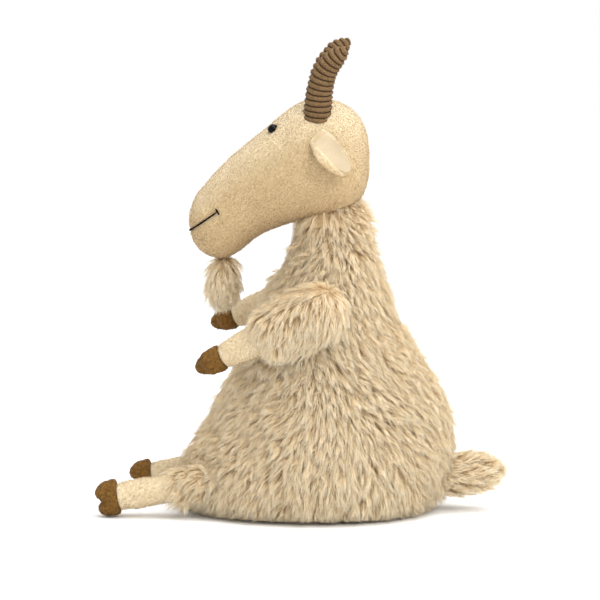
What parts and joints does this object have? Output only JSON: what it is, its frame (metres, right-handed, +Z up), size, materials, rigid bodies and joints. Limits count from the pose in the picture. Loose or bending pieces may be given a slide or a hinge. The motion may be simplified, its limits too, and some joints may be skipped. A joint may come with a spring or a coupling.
{
  "type": "seated plush goat",
  "caption": "Seated soft toy goat with a shaggy body, smooth velour head and limbs, ribbed brown horns and brown hooves; head, arms, legs, ears, tail and beard move.",
  "frame": {"origin": "on the flat seat panel, under the middle of the base, where the toy rests on the floor", "axes": "+Z up out of the seat, -Y towards the face and feet, +X towards the goat's own left side"},
  "size_m": [0.1361, 0.2494, 0.2914],
  "materials": {
    "long_pile": "shaggy pile, 15 to 25 mm",
    "velour": "short pile",
    "corduroy": "ribbed",
    "brown_velour": "short pile",
    "suede": "smooth brushed",
    "bead": "polished",
    "thread": "satin thread",
    "filling": "loose fibre",
    "plain_weave": "plain weave",
    "washer": "moulded"
  },
  "bodies": {
    "torso": {"body_cover": "long_pile", "base_panel": "plain_weave", "bean_pouch": "plain_weave", "body_stuffing": "filling"},
    "neck": {"neck_core": "filling"},
    "head": {"head_cover": "velour", "head_stuffing": "filling", "mouth_stitch": "thread", "left_horn": "corduroy", "left_horn_stuffing": "filling", "left_eye": "bead", "left_eye_washer": "washer", "right_horn": "corduroy", "right_horn_stuffing": "filling", "right_eye": "bead", "right_eye_washer": "washer"},
    "beard": {"beard": "long_pile"},
    "tail": {"tail": "long_pile", "tail_stuffing": "filling"},
    "left_ear": {"left_ear": "velour", "left_ear_lining": "suede"},
    "left_arm": {"left_upper_arm": "long_pile", "left_forearm": "velour", "left_arm_stuffing": "filling", "left_front_hoof": "brown_velour"},
    "left_leg": {"left_leg": "velour", "left_leg_stuffing": "filling", "left_hind_hoof": "brown_velour"},
    "right_ear": {"right_ear": "velour", "right_ear_lining": "suede"},
    "right_arm": {"right_upper_arm": "long_pile", "right_forearm": "velour", "right_arm_stuffing": "filling", "right_front_hoof": "brown_velour"},
    "right_leg": {"right_leg": "velour", "right_leg_stuffing": "filling", "right_hind_hoof": "brown_velour"}
  },
  "joints": [
    {"name": "neck_turn", "type": "hinge", "parent": "torso", "child": "neck", "pos_m": [0, 0.0165, 0.178], "axis": [0, 0, 1], "range_deg": [-25, 25]},
    {"name": "head_nod", "type": "hinge", "parent": "neck", "child": "head", "pos_m": [0, 0.0165, 0.178], "axis": [1, 0, 0], "range_deg": [-20, 8]},
    {"name": "beard_swing", "type": "hinge", "parent": "head", "child": "beard", "pos_m": [0, -0.049, 0.157], "axis": [1, 0, 0], "range_deg": [-15, 15]},
    {"name": "tail_lift", "type": "hinge", "parent": "torso", "child": "tail", "pos_m": [0, 0.084, 0.022], "axis": [1, 0, 0], "range_deg": [0, 25]},
    {"name": "left_ear_flop", "type": "hinge", "parent": "head", "child": "left_ear", "pos_m": [0.033, 0.0124, 0.2337], "axis": [0, -0.7239, -0.6899], "range_deg": [-4, 40]},
    {"name": "right_ear_flop", "type": "hinge", "parent": "head", "child": "right_ear", "pos_m": [-0.033, 0.0124, 0.2337], "axis": [0, 0.7239, 0.6899], "range_deg": [-4, 40]},
    {"name": "left_shoulder", "type": "hinge", "parent": "torso", "child": "left_arm", "pos_m": [0.048, 0.012, 0.1305], "axis": [1, 0, 0], "range_deg": [-35, 8]},
    {"name": "right_shoulder", "type": "hinge", "parent": "torso", "child": "right_arm", "pos_m": [-0.048, 0.014, 0.135], "axis": [1, 0, 0], "range_deg": [-35, 8]},
    {"name": "left_hip", "type": "hinge", "parent": "torso", "child": "left_leg", "pos_m": [0.037, -0.06, 0.0216], "axis": [1, 0, 0], "range_deg": [-28, 8]},
    {"name": "right_hip", "type": "hinge", "parent": "torso", "child": "right_leg", "pos_m": [-0.037, -0.047, 0.0216], "axis": [1, 0, 0], "range_deg": [-28, 8]}
  ]
}
